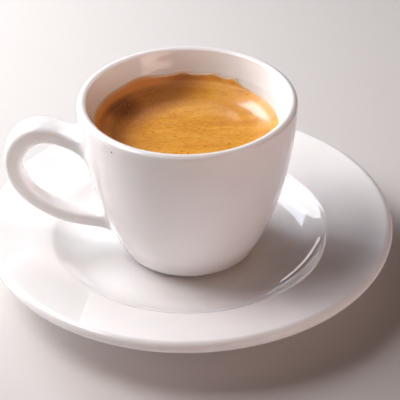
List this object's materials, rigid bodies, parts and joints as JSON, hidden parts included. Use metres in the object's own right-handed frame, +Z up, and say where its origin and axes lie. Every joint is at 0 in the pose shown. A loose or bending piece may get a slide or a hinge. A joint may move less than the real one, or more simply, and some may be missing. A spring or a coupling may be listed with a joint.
{
  "type": "espresso shot",
  "caption": "Espresso with a golden crema in a small white porcelain cup with a loop handle, standing on its round saucer.",
  "frame": {"origin": "on the table, under the middle of the saucer", "axes": "+Z up through the cup's middle, -X towards the handle"},
  "size_m": [0.1218, 0.1218, 0.058],
  "materials": {
    "cup_porcelain": "clear gloss glaze",
    "saucer_porcelain": "clear gloss glaze",
    "crema": "fine wet foam"
  },
  "bodies": {
    "root": {"cup": "cup_porcelain", "saucer": "saucer_porcelain", "espresso": "crema"}
  },
  "joints": []
}
